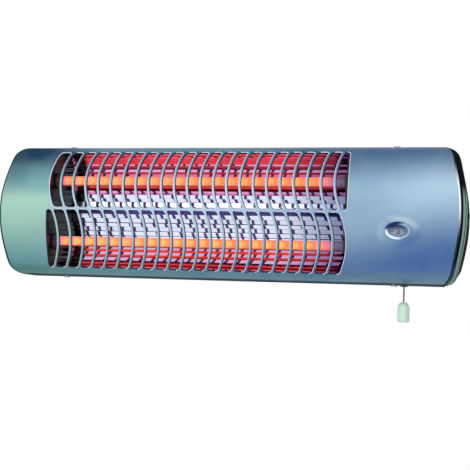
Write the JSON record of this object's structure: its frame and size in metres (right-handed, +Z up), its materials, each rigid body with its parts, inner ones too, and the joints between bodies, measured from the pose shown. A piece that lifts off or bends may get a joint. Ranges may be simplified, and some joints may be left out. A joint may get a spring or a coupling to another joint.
{
  "type": "electric bar heater",
  "caption": "Wall-mounted bar heater with quartz tubes behind a slotted sheet-metal front, a tilting bracket and a pull-cord switch.",
  "frame": {"origin": "centre of the wall bracket's back face, on the wall plane at the height of the tilt axis", "axes": "+X along the heater to the right as seen from the room, -Y out from the wall towards the room, +Z up"},
  "size_m": [0.5046, 0.1039, 0.18],
  "materials": {
    "satin_steel": "satin sheet metal with a fine grain",
    "cap_plastic": "glossy moulded plastic",
    "zinc_steel": "zinc-plated sheet steel",
    "black_screw": "blackened screw",
    "fibre": "pressed fibre washer",
    "polished_reflector": "bright polished, fluted",
    "dark_plate": "heat-darkened steel",
    "quartz": "milky quartz, lit from inside",
    "hot_coil": "glowing resistance wire",
    "ceramic": "unglazed steatite",
    "terminal_brass": "plain brass",
    "switch_plastic": "moulded plastic",
    "disc_plastic": "printed plastic disc",
    "bezel_chrome": "plated plastic ring",
    "lens_clear": "clear window",
    "cord": "braided cord",
    "toggle_plastic": "white moulded toggle",
    "cutout_metal": "pressed metal can",
    "wire_brown": "insulated wire",
    "wire_black": "insulated wire",
    "wire_blue": "insulated wire"
  },
  "bodies": {
    "bracket": {"wall_bracket": "zinc_steel"},
    "case": {"pivot_screw_left": "black_screw", "pivot_screw_right": "black_screw", "pivot_nuts": "zinc_steel", "friction_washers": "fibre", "front_cover": "satin_steel", "back_pan": "zinc_steel", "end_cap_left": "cap_plastic", "end_cap_right": "cap_plastic", "case_screws": "zinc_steel", "reflector": "polished_reflector", "end_plate_left": "dark_plate", "end_plate_right": "dark_plate", "tube_upper": "quartz", "tube_lower": "quartz", "coil_upper": "hot_coil", "coil_lower": "hot_coil", "ceramic_upper_left": "ceramic", "ceramic_lower_left": "ceramic", "ceramic_upper_right": "ceramic", "ceramic_lower_right": "ceramic", "tube_clips": "zinc_steel", "terminal_screws": "terminal_brass", "link_strap": "terminal_brass", "switch_body": "switch_plastic", "switch_bracket": "zinc_steel", "return_spring": "zinc_steel", "dial_bezel": "bezel_chrome", "dial_lens": "lens_clear", "cord_grommet": "cap_plastic", "terminal_block": "switch_plastic", "cable_gland": "cap_plastic", "thermal_cutout": "cutout_metal", "earth_stud": "terminal_brass", "wire_live": "wire_brown", "wire_upper": "wire_brown", "wire_lower": "wire_black", "wire_cutout": "wire_blue"},
    "pull": {"pull_lever": "switch_plastic", "pull_cord": "cord", "pull_toggle": "toggle_plastic"},
    "indicator": {"number_disc": "disc_plastic"}
  },
  "joints": [
    {"name": "tilt", "type": "hinge", "parent": "bracket", "child": "case", "pos_m": [0, -0.069, 0], "axis": [1, 0, 0], "range_deg": [-10, 30]},
    {"name": "pull_cord_slide", "type": "slide", "parent": "case", "child": "pull", "axis": [0, 0, -1], "range_m": [0, 0.012], "stiffness_N_per_m": 400, "springref_m": -0.004, "deforming": ["return_spring"]},
    {"name": "indicator_turn", "type": "hinge", "parent": "case", "child": "indicator", "pos_m": [0.184, -0.0966, -0.0075], "axis": [0, -1, 0], "range_deg": [0, 91]}
  ],
  "couplings": [
    {"joint": "indicator_turn", "follows": "pull_cord_slide", "rad_per_m": 130.9}
  ]
}
